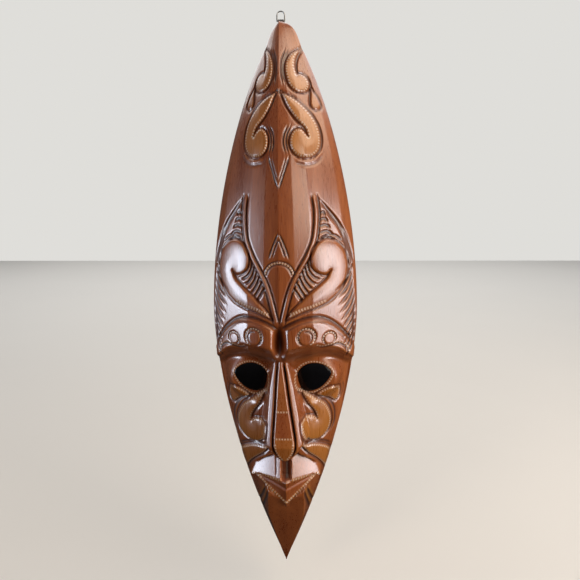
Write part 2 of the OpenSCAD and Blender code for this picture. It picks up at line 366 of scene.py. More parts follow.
class Carving:
    """The surface while it is being cut: height, and where stain, painted shade and bare cuts lie."""

    def __init__(self, x, s):
        self.x, self.s = x, s
        self.h = face_form(np.abs(x), s)
        self.cut = np.zeros_like(x)
        self.panel = np.zeros_like(x)
        self.chip_off = np.full_like(x, 9.0)
        self.chip_run = np.zeros_like(x)

    def sides(self, line, margin, both=True):
        """The points near the line, once as drawn and once mirrored."""
        low, high = line.min(axis=0) - margin, line.max(axis=0) + margin
        for side in (1, -1) if both else (1,):
            x, s = by_hand(side, self.x, self.s)
            k = np.nonzero((x > low[0]) & (x < high[0]) & (s > low[1]) & (s < high[1]))[0]
            if len(k):
                yield k, x[k], s[k]

    def groove(self, points, width=1.6, depth=1.2, fade=0.18, both=True, stain=1.0):
        """A V cut that is shallow at both ends of its line."""
        line = curve(points)
        for k, x, s in self.sides(line, width + 1, both):
            gap, run, total = near(line, x, s)
            ends = ramp(0, fade * total, run) * ramp(0, fade * total, total - run)
            v = np.clip(1 - gap / (width * (0.45 + 0.55 * ends)), 0, 1)
            v = v * v * (3 - 2 * v) * (0.35 + 0.65 * ends)
            self.h[k] -= depth * v
            self.cut[k] = np.maximum(self.cut[k], stain * v)

    def bead(self, points, width=1.6, height=1.0):
        """A rounded rib along the line."""
        line = curve(points)
        for k, x, s in self.sides(line, width + 1):
            gap, run, total = near(line, x, s)
            ends = ramp(0, 4, run) * ramp(0, 4, total - run)
            self.h[k] += height * ends * np.sqrt(np.clip(1 - (gap / width) ** 2, 0, 1))

    def paint(self, points, width=1.0):
        """Ochre along a line, with no change of height."""
        line = curve(points)
        for k, x, s in self.sides(line, width + 1):
            gap, _, _ = near(line, x, s)
            self.panel[k] = np.maximum(self.panel[k], ramp(width, 0.4 * width, gap))

    def panel_in(self, points, rise=1.3, dome=0.6, colour=1.0):
        """A raised panel with a rounded edge, and a cut round it."""
        line = curve(points, closed=True)
        for k, x, s in self.sides(line, 4):
            gap, _, _ = near(line, x, s)
            d = np.where(inside(line, x, s), gap, -gap)
            self.h[k] += rise * ramp(-0.3, 1.1, d) + dome * (1 - np.exp(-np.clip(d, 0, None) / 5))
            v = np.clip(1 - np.abs(d + 0.9) / 1.3, 0, 1)
            self.h[k] -= MOAT * v * v * (3 - 2 * v)
            self.cut[k] = np.maximum(self.cut[k] * (d < 0), v ** 1.5)
            self.panel[k] = np.maximum(self.panel[k], colour * ramp(0.0, 0.9, d))

    def chips(self, points, band=0.9, offset=0.0, closed=False):
        """A row of small notches along the line, offset to its inner side."""
        line = curve(points, closed=closed)
        for k, x, s in self.sides(line, band + 3):
            gap, run, _ = near(line, x, s)
            if closed and offset:
                gap = np.abs(np.where(inside(line, x, s), gap, -gap) - offset)
            off = gap / band
            nearer = off < self.chip_off[k]
            self.chip_off[k] = np.where(nearer, off, self.chip_off[k])
            self.chip_run[k] = np.where(nearer, run, self.chip_run[k])


# Outlines, as x and s in millimetres for the right side. A doubled point is a corner.
SMALL_SCROLL = [(7.2, 470), (5.4, 464), (5.5, 456), (8.5, 447), (14, 442.5), (20, 443.5),
                (22.5, 449), (20.5, 455), (16.5, 457.5), (13.5, 456.5), (13.5, 456.5),
                (12, 462), (12.2, 470), (14.5, 479), (14.5, 479), (10, 474.5)]
BIG_SCROLL = [(2.5, 440), (2.5, 440), (12, 436), (22, 428), (29, 418), (32, 407), (31, 398),
              (26, 392), (19, 390.5), (13, 393), (9.5, 399), (9.5, 406), (12.5, 411.5),
              (17.5, 412.5), (22.5, 407.5), (22.5, 407.5), (20.5, 413.5), (13, 421), (7, 430)]
WING_SCROLL = [(41.5, 299), (41.5, 299), (38, 296), (32.5, 297), (27.5, 301.5), (26, 308),
               (26.5, 315), (30, 321), (36, 325), (43, 324.5), (50, 319), (54.3, 310),
               (55.5, 299), (53.5, 289), (48.5, 280), (41, 273), (32, 269), (20, 265.5),
               (7, 260), (7, 260), (10.5, 266), (17, 273), (25, 280.5), (33, 287.5), (39, 293)]
CHEEK_SCROLL = [(15.5, 192), (15.5, 192), (26, 186), (35, 179.5), (40.5, 170), (42.5, 160),
                (40.5, 151), (34.5, 145), (27, 144.5), (20, 148.5), (16.8, 156), (15.4, 163),
                (15, 169.5), (15, 169.5), (20, 169.8), (25.5, 168.6), (28.8, 165.5),
                (28.8, 165.5), (28.2, 170), (25, 176), (20, 183)]
CHEEK_LEAF = [(29.5, 187), (29.5, 187), (35, 191.5), (42, 194.5), (48.5, 192.5), (51, 186),
              (49.5, 178.5), (46, 176.5), (42, 180.5), (36, 184.5)]
LIP_BAND = [(14, 142.5), (14, 142.5), (25, 141), (35, 135.5), (41.5, 128.5), (42.5, 121),
            (40, 112), (37.5, 107), (37.5, 107), (34.5, 115), (28.5, 124.5), (20, 134.5)]
TEMPLE_LEAF = [(24, 446), (24, 446), (28.5, 440), (31, 433), (28, 430), (24.5, 433), (24, 439)]

RIB = [(27.5, 362), (29.5, 350), (29.5, 336), (27.5, 323), (22.5, 311), (16.5, 300),
       (11.5, 290), (8, 280), (5.5, 270), (3.5, 261), (2.5, 254)]


def almond(grow, count=72):
    """x = a cos t, s = 1.1 b sin t |sin(t / 2)|^0.35 + tilt ((1 + cos t) / 2)^2: an
    ellipse drawn out and up to a point."""
    t = np.linspace(0, 2 * np.pi, count, endpoint=False)
    a, b = EYE_W / 2 + grow, EYE_H / 2 + grow
    lift = EYE_TILT * ((1 + np.cos(t)) / 2) ** 2
    return np.c_[a * np.cos(t), 1.1 * b * np.sin(t) * np.abs(np.sin(t / 2)) ** 0.35 + lift]


def offset_line(points, across):
    """The line moved sideways by a constant distance, at its own points."""
    p = np.array(points, float)
    way = np.gradient(p, axis=0)
    way /= np.hypot(way[:, 0], way[:, 1])[:, None]
    return p + across * np.c_[-way[:, 1], way[:, 0]]


def cut_top(c):
    """Two pairs of scrolls at the top, with their side cuts and the long V."""
    c.panel_in(SMALL_SCROLL, rise=1.2, dome=1.2, colour=0.9)
    c.panel_in(BIG_SCROLL, rise=1.6, dome=1.2)
    c.panel_in(TEMPLE_LEAF, rise=0.7, dome=0.8, colour=0.5)
    c.chips(SMALL_SCROLL, closed=True, offset=1.0, band=0.8)
    c.chips(BIG_SCROLL, closed=True, offset=1.1, band=0.9)
    for shift in (0, 2.2):
        c.groove([(7.5 - shift, 477), (3.8 - shift * 0.7, 467), (3.2 - shift * 0.6, 457),
                  (5.5 - shift, 447)], width=1.2)
        c.groove([(10 - shift, 415), (6.8 - shift, 408), (6.2 - shift, 400),
                  (8 - shift, 393)], width=1.2)
    c.groove([(12, 386.5), (21, 384.5), (29, 387), (34.5, 394)], width=1.6, depth=0.8, stain=0.5)
    c.bead([(12, 388.5), (21, 387), (28, 389.5), (33, 396)], width=1.4, height=0.8)
    c.groove([(8.8, 391), (5, 380), (0.6, 365.5)], width=1.3, depth=1.4)
    c.groove([(6.2, 390), (3.4, 380), (0.4, 371)], width=1.0, depth=0.9, stain=0.7)
    c.bead([(7.6, 390), (4.2, 380), (0.3, 367)], width=0.9, height=0.5)


def cut_forehead(c):
    """A pointed gable over a notched arc, between the two long ribs."""
    c.groove([(0.3, 331), (4.5, 321), (8.5, 310)], width=1.2)
    c.groove([(0.2, 326), (3, 318.5), (5.5, 311)], width=1.0, stain=0.8)
    c.bead([(0.3, 329), (3.8, 320), (7, 310.5)], width=0.9, height=0.5)
    arc = [(0, 308.5), (6, 307), (10.5, 303), (13, 297.5)]
    c.groove(arc, width=1.0, fade=0.05)
    c.groove(offset_line(arc, -2.6), width=1.0, fade=0.05)
    c.chips(offset_line(arc, -1.3), band=1.0)
    for across in (-2.3, 2.3):
        c.groove(offset_line(RIB, across), width=1.5, depth=1.5, fade=0.05)
    c.bead(RIB, width=1.7, height=0.9)


def cut_wings(c):
    """A domed comma with a long tail, hatched inside and feathered outside."""
    c.panel_in(WING_SCROLL, rise=1.6, dome=1.5, colour=0.15)
    for k in range(3):
        c.groove([(29 + 2.6 * k, 361 - 5.5 * k), (37 + 1.4 * k, 352 - 3.5 * k),
                  (46 + 0.6 * k, 341.5 - 3 * k), (53.5 - 0.6 * k, 329 - 3 * k),
                  (59 - 1.4 * k, 313 - 2 * k), (61.3 - 1.6 * k, 299 - 3 * k)],
                 width=1.6, depth=1.5, stain=0.8)
    for k in range(5):
        s0 = 347 - 5.2 * k
        reach = 4.5 + 2.2 * k
        c.groove([(31.8, s0 - 1), (32.5 + reach / 2, s0 + 0.6), (32 + reach, s0 - 2.2)],
                 width=1.9, depth=1.6)
    c.groove([(31, 324), (37, 328.5), (45, 328), (52, 322)], width=1.6, depth=1.5)
    for k in range(6):
        c.groove([(23 - 2.2 * k, 308.5 - 4.5 * k), (23.8 - 1.6 * k, 300.5 - 4.2 * k),
                  (28.6 - 2.1 * k, 294 - 3.7 * k), (34 - 3.3 * k, 292.3 - 3.9 * k)],
                 width=1.8, depth=1.9)
    for k in range(10):
        s0 = 304 - 6.9 * k
        x0 = min(63.5, 59.5 + 0.8 * k)
        c.groove([(x0, s0), (x0 - 1.8, s0 - 9), (x0 - 6.5, s0 - 17), (x0 - 13 + 0.5 * k, s0 - 22.5)],
                 width=2.0, depth=1.9, fade=0.3)
    c.chips([(9, 263.5), (18, 267.6), (27, 270.2), (37, 273.5)], band=1.6)


def cut_brows(c):
    """A double line over each brow, two curls on it and a wave below them; painted shade
    lies in the cleft, and a painted shadow along the brows' lower edges."""
    top = [(x, brow_top(x) + 0.5) for x in (1.5, 7, 14, 21, 28, 35, 42, 49, 55, 60.5)]
    c.groove(top, width=2.0, depth=1.6, fade=0.04)
    # Painted shade down the cleft between the brows, with no change of height.
    c.groove([(0.3, 257), (0.8, 243), (2.2, 229)], width=4.2, depth=0, fade=0.3, both=False,
             stain=0.8)
    # A painted shadow under each brow's lower edge.
    out = np.abs(c.x)
    below = brow_low(out) - c.s
    c.cut = np.maximum(c.cut, 0.4 * ramp(-3, 1, below) * ramp(9, 4, below) * ramp(60, 50, out))
    c.groove(offset_line(top, -3.0), width=1.1, depth=0.8, fade=0.1, stain=0.6)
    big = 7.2
    small = 5.2
    turn = np.radians(np.arange(-70, 281, 25))
    curl = np.c_[22.3 + big * np.cos(turn), 244.8 + big * np.sin(turn)]
    c.groove(curl, width=1.7, depth=1.6, fade=0.25)
    c.chips(curl[:12], band=0.8)
    c.groove(np.c_[22.3 + 4.6 * np.cos(turn[:9]), 244.8 + 4.6 * np.sin(turn[:9])],
             width=1.2, depth=0.9, fade=0.3)
    c.groove(np.c_[41 + small * np.cos(turn), 241.3 + small * np.sin(turn)],
             width=1.5, depth=1.4, fade=0.25)
    c.chips(np.c_[41 + small * np.cos(turn[2:12]), 241.3 + small * np.sin(turn[2:12])], band=0.8)
    wave = [(29.5, 236), (35, 233.5), (42, 234.5), (49, 235), (54.5, 231), (57.5, 224)]
    c.groove(wave, width=1.5, depth=1.2)
    c.chips(offset_line(wave, 1.6), band=0.9)


def cut_eyes_and_cheeks(c):
    """Notched rims round the eyes; comma scrolls and small leaves on the cheeks."""
    rim = almond(1.5) + (EYE_X, EYE_S)
    line = np.vstack([rim, rim[:1]])
    for k, x, s in c.sides(line, 3):
        gap, _, _ = near(line, x, s)
        c.h[k] += 0.7 * np.clip(1 - (gap / 1.3) ** 2, 0, 1)
    c.chips(rim, band=0.9, closed=True)
    c.panel_in(CHEEK_SCROLL, rise=1.6, dome=1.6)
    c.chips(CHEEK_SCROLL, closed=True, offset=1.0, band=0.9)
    c.panel_in(CHEEK_LEAF, rise=1.0, dome=0.8, colour=0.8)
    c.chips(CHEEK_LEAF, closed=True, offset=0.9, band=0.8)
    c.groove([(24, 190.5), (35, 184), (42.5, 176), (46, 165), (45.2, 153), (40, 144.5)],
             width=1.4, depth=1.0)
    c.groove([(18, 187), (23, 180), (27.5, 172.5)], width=1.2, depth=0.8, stain=0.6)
    c.groove([(53.5, 193), (54.5, 185), (51.5, 175)], width=1.3, depth=0.8, stain=0.6)
    c.groove([(13, 145.5), (24, 143.8), (35, 139.5), (44, 131.5)], width=1.4, depth=1.2)


def cut_nose_and_mouth(c):
    """Stain and notches on the nose and along the lips, a painted shadow under the nose,
    the fluted chin, and painted shade on the chin's left bevel."""
    for_kite = np.abs(c.x) < nose_flat(c.s)
    ochre_ends = 0.55 * ramp(161, 158, c.s) + 0.3 * ramp(180, 183, c.s) * ramp(215, 200, c.s)
    c.panel = np.maximum(c.panel, for_kite * ochre_ends)
    kite_edge = [(nose_flat(s) + 1.3, s) for s in (219, 205, 190, 175, 160, 152, 146, 142)]
    c.groove(kite_edge, width=1.4, depth=0.5, fade=0.04)
    c.groove(kite_edge[:6], width=2.0, depth=1.6, fade=0.1, both=False)
    c.chips([(nose_flat(s) - 0.8, s) for s in (156, 150, 146, 143, 140.5)], band=0.9)
    # A painted shadow under the nose, down the groove above the upper lip, with no change of height.
    c.groove([(0.5, 112), (0.5, 129)], width=5.4, depth=0, fade=0.05, both=False)
    c.chips([(0, 181), (4.4, 181)], band=0.9)
    c.chips([(0, 159.5), (6.8, 159.5)], band=0.9)
    c.panel_in(LIP_BAND, rise=1.2, dome=0.8, colour=0.9)
    c.chips(LIP_BAND, closed=True, offset=1.0, band=0.8)
    for k in range(2):
        at_x = np.linspace(0 if k else 5.5, 31, 8)
        edge = lip_low(at_x) + 1.7 if k else lip_edge(at_x) - 0.9
        c.paint(np.c_[at_x, edge], width=1.6)
        c.chips(np.c_[at_x, edge], band=1.4)
    flute = np.array([(16.4, 99), (18.2, 88), (20.6, 75), (23, 60)])
    for k in range(2):
        shift = np.array([(2.6, 0), (3.2, 0), (3.6, 1), (3.8, 4)]) * k
        c.groove(flute + shift, width=1.7, depth=2.4, fade=0.15)
        c.paint(flute + shift + (1.8, 0), width=1.0)
    c.groove([(-9.4, 131.5), (-9.2, 122), (-9, 114.5)], width=0.9, depth=0.9, both=False)
    # Painted shade on the chin's left bevel, in the near-black of the cuts.
    past_flat = -c.x - chin_flat(c.s)
    c.cut = np.maximum(c.cut, 0.75 * ramp(-0.8, 0.8, past_flat) * ramp(74, 66, c.s))


def carve(x, s):
    """The whole front: large forms, then the pattern from the top down."""
    c = Carving(x, s)
    cut_top(c)
    cut_forehead(c)
    cut_wings(c)
    cut_brows(c)
    cut_eyes_and_cheeks(c)
    cut_nose_and_mouth(c)
    return c


# ---- Meshes -------------------------------------------------------------------------------

def grid_faces(rows, cols, start=0, wrap=False):
    """Quads between neighbouring rows of points; wrap joins the last column to the first."""
    i, k = np.meshgrid(np.arange(rows - 1), np.arange(cols if wrap else cols - 1), indexing="ij")
    a = start + i * cols + k
    b = start + i * cols + (k + 1) % cols
    return np.stack([a, b, b + cols, a + cols], axis=-1).reshape(-1, 4)


def mesh_piece(name, points, quads, caps=(), smooth=True):
    """A new object from points in millimetres, quads and end polygons."""
    mesh = bpy.data.meshes.new(name)
    mesh.from_pydata((np.asarray(points) * MM).tolist(), [], quads.tolist() + [list(c) for c in caps])
    mesh.polygons.foreach_set("use_smooth", np.full(len(mesh.polygons), smooth))
    mesh.update()
    piece = bpy.data.objects.new(name, mesh)
    bpy.context.scene.collection.objects.link(piece)
    return piece


def add_value(mesh, name, values):
    """One number for each point, which the materials read by its name."""
    layer = mesh.attributes.new(name, "FLOAT", "POINT")
    layer.data.foreach_set("value", np.asarray(values, np.float32))


def join_points(mesh, reach=1e-7):
    """Join points that lie on each other, as where columns run together, and drop the
    empty faces between them."""
    work = bmesh.new()
    work.from_mesh(mesh)
    bmesh.ops.remove_doubles(work, verts=work.verts, dist=reach)
    work.to_mesh(mesh)
    work.free()


def place(x, h, s):
    """From the carving's own measures to the frame's, still in millimetres."""
    return np.stack([x + MID_X, -h, s + CHIN_Z], axis=-1)


FRONT_COLS = 200
BACK_COLS = 26
# The recess that the hanger's strap lies in: half its width, its depth and its lower end
STRAP_LOW, STRAP_HIGH = (np.array(c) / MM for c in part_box("hanger_strap"))
RECESS_HALF = (STRAP_HIGH[0] - STRAP_LOW[0]) / 2 + 0.25
RECESS_DEPTH = 2.8
RECESS_S = STRAP_LOW[2] - CHIN_Z - 0.5
# Heights on the mask and how many rows there are up to each of them
ROW_PLAN = [(0, 0), (60, 26), (200, 158), (365, 322), (480, 412), (500, 430)]


def hollow_height(x, s, front):
    """The hollow: HOLLOW (1 - u^2.4)^0.6, shallower where the mask is narrow, and
    never nearer to the front than the skin. Shallow gouge marks run up it."""
    half = np.maximum(0.3, half_width(s) - WALL)
    u = np.clip(np.abs(x) / half, 0, 1)
    bowl = HOLLOW * np.minimum(1, half / 22) * (1 - u ** 2.4) ** 0.6
    marks = 0.5 * np.abs(np.sin(x / 2.6 + 0.6 * np.sin(s / 17))) * np.abs(np.sin(s / 11 + x / 9))
    bowl = np.where(bowl > 1.5, bowl - marks, bowl)
    return np.where(half_width(s) > WALL + 1.5, np.clip(np.minimum(bowl, front - SKIN), 0, None), 0)


def back_surface(s):
    """The back from right to left: rim, hollow, and the strap's recess near the top. The
    seven middle columns draw together there to stand along the recess's two walls."""
    half = half_width(s)[:, None]
    v = np.sin(np.linspace(1, -1, BACK_COLS + 1) * np.pi / 2)
    x, s = half * v, np.repeat(s[:, None], len(v), axis=1)
    h = hollow_height(x, s, face_form(np.abs(x), s))
    x = x + sway(x, s)
    walls = np.array([RECESS_HALF + 0.05, RECESS_HALF, RECESS_HALF / 2, 0,
                      -RECESS_HALF / 2, -RECESS_HALF, -RECESS_HALF - 0.05]) - MID_X
    mid = slice(BACK_COLS // 2 - 3, BACK_COLS // 2 + 4)
    x[:, mid] = mix(x[:, mid], np.clip(walls, -half, half), ramp(RECESS_S - 12, RECESS_S, s[:, mid]))
    x = np.minimum.accumulate(x, axis=1)
    cut = (s >= RECESS_S) & (np.abs(x + MID_X) < RECESS_HALF + 0.02)
    return place(x, np.where(cut, np.maximum(h, RECESS_DEPTH), h), s)


def mask_surface():
    """A ring of columns round every row: across the front from left to right, then
    back behind it. Both ends are closed by a polygon."""
    at_s, at_row = zip(*ROW_PLAN)
    rows = at_row[-1] + 1
    s = np.interp(np.arange(rows), at_row, np.array(at_s) * MASK_LEN / at_s[-1])
    u = np.linspace(-1, 1, FRONT_COLS + 1)
    x, s_front = half_width(s)[:, None] * u, np.repeat(s[:, None], len(u), axis=1)
    c = carve(x.ravel(), s_front.ravel())
    low = edge_height(s_front.ravel()) * 0.8
    h = np.maximum(c.h, low).reshape(x.shape)
    pocket = almond(-1.0) + (EYE_X, EYE_S)
    pocket = np.vstack([pocket, pocket[:1]])
    k = np.nonzero(np.hypot(np.abs(x) - EYE_X, s_front - EYE_S).ravel() < EYE_W)[0]
    let_in = np.zeros(x.size, bool)
    let_in[k] = inside(pocket, np.abs(x.ravel()[k]), s_front.ravel()[k])
    h = np.where(let_in.reshape(x.shape), np.minimum(h, EYE_FLOOR), h)
    front = place(x + sway(x, s_front), h, s_front)

    back = back_surface(s)
    points = np.concatenate([front, back], axis=1)
    cols = points.shape[1]
    quads = grid_faces(rows, cols, wrap=True)
    caps = [np.arange(cols)[::-1], (rows - 1) * cols + np.arange(cols)]
    values = {}
    side = np.abs(x.ravel()) / HALF_W
    for name, flat in (("cut", c.cut), ("panel", c.panel), ("chip_off", c.chip_off),
                       ("chip_run", c.chip_run), ("side", side)):
        grid = np.full((rows, cols), 9.0 if name == "chip_off" else 0.0)
        grid[:, :FRONT_COLS + 1] = flat.reshape(x.shape)
        values[name] = grid.ravel()
    behind = np.zeros((rows - 1, cols), int)
    behind[:, FRONT_COLS + 1:-1] = 1
    return points.reshape(-1, 3), quads, caps, values, behind.ravel()


def eye_surface(side):
    """Rings of the almond drawn in from its edge; the height follows
    dome (1 - r^2)^0.8 above the edge, and one more ring carries the edge down."""
    rings = 14
    edge = almond(0.05)
    mid = np.array([side * EYE_X + sway(np.array(EYE_X), np.array(EYE_S)), EYE_S])
    r = np.r_[1, 1, np.cos(np.linspace(0, 1, rings) * np.pi / 2)[1:-1]]
    h = EYE_RIM + EYE_DOME * (1 - r ** 2) ** 0.8
    h[0] = EYE_UNDER
    xy = edge[None] * r[:, None, None]
    x = mid[0] + side * xy[..., 0]
    points = place(x, np.repeat(h[:, None], len(edge), axis=1), mid[1] + xy[..., 1])
    count, cols = points.shape[:2]
    quads = grid_faces(count, cols, wrap=True)
    top = place(mid[0], EYE_RIM + EYE_DOME, mid[1])[None]
    points = np.vstack([points.reshape(-1, 3), top])
    last = (count - 1) * cols + np.arange(cols)
    tip = np.stack([last, np.roll(last, -1), np.full(cols, len(points) - 1)], axis=-1)
    faces = quads.tolist() + tip.tolist() + [np.arange(cols)[::-1].tolist()]
    if side < 0:
        faces = [f[::-1] for f in faces]
    return points, faces


# ---- Shader helpers -------------------------------------------------------------------------

def node(tree, kind, values=None, **settings):
    """A shader node with its settings and input values; a socket as a value is linked."""
    made = tree.nodes.new(kind)
    for key, value in settings.items():
        setattr(made, key, value)
    for key, value in (values or {}).items():
        if isinstance(value, bpy.types.NodeSocket):
            tree.links.new(value, made.inputs[key])
        else:
            made.inputs[key].default_value = value
    return made


def math(tree, operation, a, b, clamp=False):
    made = node(tree, "ShaderNodeMath", {0: a, 1: b}, operation=operation, use_clamp=clamp)
    return made.outputs[0]


def span(tree, value, low, high, out_low=0.0, out_high=1.0):
    """A smooth step of a value from one range to another."""
    made = node(tree, "ShaderNodeMapRange",
                {"Value": value, "From Min": low, "From Max": high,
                 "To Min": out_low, "To Max": out_high}, interpolation_type="SMOOTHSTEP")
    return made.outputs["Result"]


def blend_colour(tree, share, a, b):
    made = node(tree, "ShaderNodeMix", {0: share, 6: a, 7: b}, data_type="RGBA")
    return made.outputs[2]


def attribute(tree, name):
    return node(tree, "ShaderNodeAttribute", attribute_name=name).outputs["Fac"]


def group(name, inputs, outputs):
    """An empty shader group with named sockets."""
    tree = bpy.data.node_groups.new(name, "ShaderNodeTree")
    for key, default in inputs.items():
        kind = "NodeSocketColor" if isinstance(default, tuple) else "NodeSocketFloat"
        socket = tree.interface.new_socket(name=key, in_out="INPUT", socket_type=kind)
        socket.default_value = default
    for key, kind in outputs.items():
        tree.interface.new_socket(name=key, in_out="OUTPUT", socket_type=kind)
    return tree, tree.nodes.new("NodeGroupInput"), tree.nodes.new("NodeGroupOutput")


def grain_group():
    """Straight wood grain up the mask: slow colour bands, fine streaks and short pores."""
    tree, given, out = group("Wood grain", {"Bands": 1.0, "Streaks": 1.0, "Pores": 1.0},
                             {"Tone": "NodeSocketFloat", "Height": "NodeSocketFloat"})
    place_at = node(tree, "ShaderNodeTexCoord").outputs["Object"]
    bend = node(tree, "ShaderNodeTexNoise", {"Vector": place_at, "Scale": 9.0, "Detail": 2.0})
    bent = node(tree, "ShaderNodeVectorMath",
                {0: bend.outputs["Color"], 1: (0.012, 0.012, 0.02)}, operation="MULTIPLY")
    moved = node(tree, "ShaderNodeVectorMath", {0: place_at, 1: bent.outputs[0]}, operation="ADD")

    def streaks(across, along_z, detail):
        shape = node(tree, "ShaderNodeMapping",
                     {"Vector": moved.outputs[0], "Scale": (across, across, along_z)})
        return node(tree, "ShaderNodeTexNoise", {"Vector": shape.outputs[0], "Scale": 1.0,
                                                 "Detail": detail}).outputs["Fac"]
    bands = math(tree, "MULTIPLY", math(tree, "SUBTRACT", streaks(70, 4, 3), 0.5),
                 given.outputs["Bands"])
    fine = math(tree, "MULTIPLY", math(tree, "SUBTRACT", streaks(900, 22, 3), 0.5),
                given.outputs["Streaks"])
    pores = math(tree, "MULTIPLY", span(tree, streaks(1500, 60, 1), 0.60, 0.72),
                 given.outputs["Pores"])
    tone = math(tree, "ADD", math(tree, "ADD", bands, fine), math(tree, "MULTIPLY", pores, -0.5))
    height = math(tree, "SUBTRACT", fine, pores)
    tree.links.new(math(tree, "ADD", tone, 0.5), out.inputs["Tone"])
    tree.links.new(height, out.inputs["Height"])
    return tree


def wear_dust_and_sheen_group():
    """High places, marked both as worn and as a painted highlight, and dust in low ones, from how
    sharply the surface turns.
    """
    tree, given, out = group("Wear, dust and sheen", {"Reach": 0.5, "Cloud Size": 60.0},
                             {"Edge_Wear_And_Sheen": "NodeSocketFloat", "Dust": "NodeSocketFloat"})
    turn = node(tree, "ShaderNodeNewGeometry").outputs["Pointiness"]
    place_at = node(tree, "ShaderNodeTexCoord").outputs["Object"]
    cloud = node(tree, "ShaderNodeTexNoise", {"Vector": place_at, "Detail": 4.0,
                                              "Scale": given.outputs["Cloud Size"]}).outputs["Fac"]
    # Pale on high edges: partly wear, partly a painted highlight.
    wear_and_sheen = span(tree, math(tree, "ADD", turn, math(tree, "MULTIPLY", cloud, 0.06)), 0.545, 0.60)
    dust = span(tree, math(tree, "SUBTRACT", turn, math(tree, "MULTIPLY", cloud, 0.05)), 0.47, 0.43)
    tree.links.new(math(tree, "MULTIPLY", wear_and_sheen, given.outputs["Reach"]), out.inputs["Edge_Wear_And_Sheen"])
    tree.links.new(math(tree, "MULTIPLY", dust, given.outputs["Reach"]), out.inputs["Dust"])
    return tree


def use_group(tree, name, make, values):
    held = bpy.data.node_groups.get(name) or make()
    made = tree.nodes.new("ShaderNodeGroup")
    made.node_tree = held
    for key, value in values.items():
        made.inputs[key].default_value = value
    return made


def material(name):
    made = bpy.data.materials.new(name)
    made.use_nodes = True
    tree = made.node_tree
    return made, tree, tree.nodes["Principled BSDF"]


def four(colour):
    return tuple(colour) + (1.0,)


# ---- Materials -------------------------------------------------------------------------------

def varnished_wood(look):
    """Stained and varnished wood: dark in the cuts and where shade and shadow are painted,
    ochre on the panels, paler on worn high edges, partly as a painted highlight, bare wood
    in the chip notches, and a gloss that follows the grain."""
    made, tree, shader = material("varnished carved wood")
    grain = use_group(tree, "Wood grain", grain_group, {"Bands": 1.5, "Streaks": 0.9, "Pores": 0.6})
    wear = use_group(tree, "Wear, dust and sheen", wear_dust_and_sheen_group, {"Reach": 0.5})
    cut, panel, side = attribute(tree, "cut"), attribute(tree, "panel"), attribute(tree, "side")
    off, run = attribute(tree, "chip_off"), attribute(tree, "chip_run")

    # The colour is darker towards the middle of the mask and paler towards its sides.
    tone = math(tree, "ADD", math(tree, "SUBTRACT", grain.outputs["Tone"], 0.1),
                math(tree, "MULTIPLY", side, 0.4), clamp=True)
    stain = blend_colour(tree, tone, four(look.deep_stain), four(look.stain))
    ochre = blend_colour(tree, grain.outputs["Tone"], four(look.deep_ochre), four(look.ochre))
    base = blend_colour(tree, panel, stain, ochre)
    # High edges go ochre, partly for wear and partly as a painted highlight.
    wear_and_sheen = blend_colour(tree, wear.outputs["Edge_Wear_And_Sheen"], base, four(look.ochre))
    # Near-black in the stained cuts and in the painted shade and shadows.
    dark = blend_colour(tree, math(tree, "MULTIPLY", cut, 0.9), wear_and_sheen, four(look.cut_stain_and_painted_shade))
    pulse = math(tree, "PINGPONG", run, look.chip_pitch / 2)
    notch = math(tree, "MULTIPLY", span(tree, pulse, look.chip_pitch * 0.16, look.chip_pitch * 0.27),
                 span(tree, off, 1.0, 0.6))
    colour = blend_colour(tree, math(tree, "MULTIPLY", notch, 0.95), dark, four(look.bare_wood))
    height = math(tree, "SUBTRACT", math(tree, "MULTIPLY", grain.outputs["Height"], 0.4), notch)
    bump = node(tree, "ShaderNodeBump", {"Height": height, "Strength": 0.35, "Distance": 0.0003})
    tree.links.new(colour, shader.inputs["Base Color"])
    tree.links.new(bump.outputs["Normal"], shader.inputs["Normal"])
    rough = math(tree, "ADD", math(tree, "MULTIPLY", grain.outputs["Tone"], 0.12),
                 math(tree, "MULTIPLY", cut, 0.2))
    tree.links.new(math(tree, "ADD", rough, 0.24), shader.inputs["Roughness"])
    shader.inputs["Specular IOR Level"].default_value = 0.9
    shader.inputs["Coat Weight"].default_value = look.varnish
    shader.inputs["Coat Roughness"].default_value = 0.27
    shader.inputs["Coat IOR"].default_value = 1.5
    return made


def raw_wood(look):
    """The unvarnished back: the same grain, paler and dull, with dust in the gouge marks."""
    made, tree, shader = material("raw wood back")
    grain = use_group(tree, "Wood grain", grain_group, {"Bands": 1.6, "Streaks": 1.2, "Pores": 1.0})
    wear = use_group(tree, "Wear, dust and sheen", wear_dust_and_sheen_group, {"Reach": 0.6})
    base = blend_colour(tree, grain.outputs["Tone"], four(look.raw_dark), four(look.raw_light))
    colour = blend_colour(tree, wear.outputs["Dust"], base, (0.32, 0.27, 0.2, 1.0))
    bump = node(tree, "ShaderNodeBump", {"Height": grain.outputs["Height"], "Strength": 0.5,
                                         "Distance": 0.0006})
    tree.links.new(colour, shader.inputs["Base Color"])
    tree.links.new(bump.outputs["Normal"], shader.inputs["Normal"])
    shader.inputs["Roughness"].default_value = 0.72
    return made


def black_glass():
    """Polished black glass with faint smears."""
    made, tree, shader = material("black eye glass")
    place_at = node(tree, "ShaderNodeTexCoord").outputs["Object"]
    smear = node(tree, "ShaderNodeTexNoise", {"Vector": place_at, "Scale": 160.0,
                                              "Detail": 3.0}).outputs["Fac"]
    tree.links.new(span(tree, smear, 0.35, 0.8, 0.06, 0.22), shader.inputs["Roughness"])
    tint = blend_colour(tree, smear, (0.003, 0.003, 0.004, 1.0), (0.007, 0.007, 0.009, 1.0))
    tree.links.new(tint, shader.inputs["Base Color"])
    shader.inputs["IOR"].default_value = 1.33
    return made


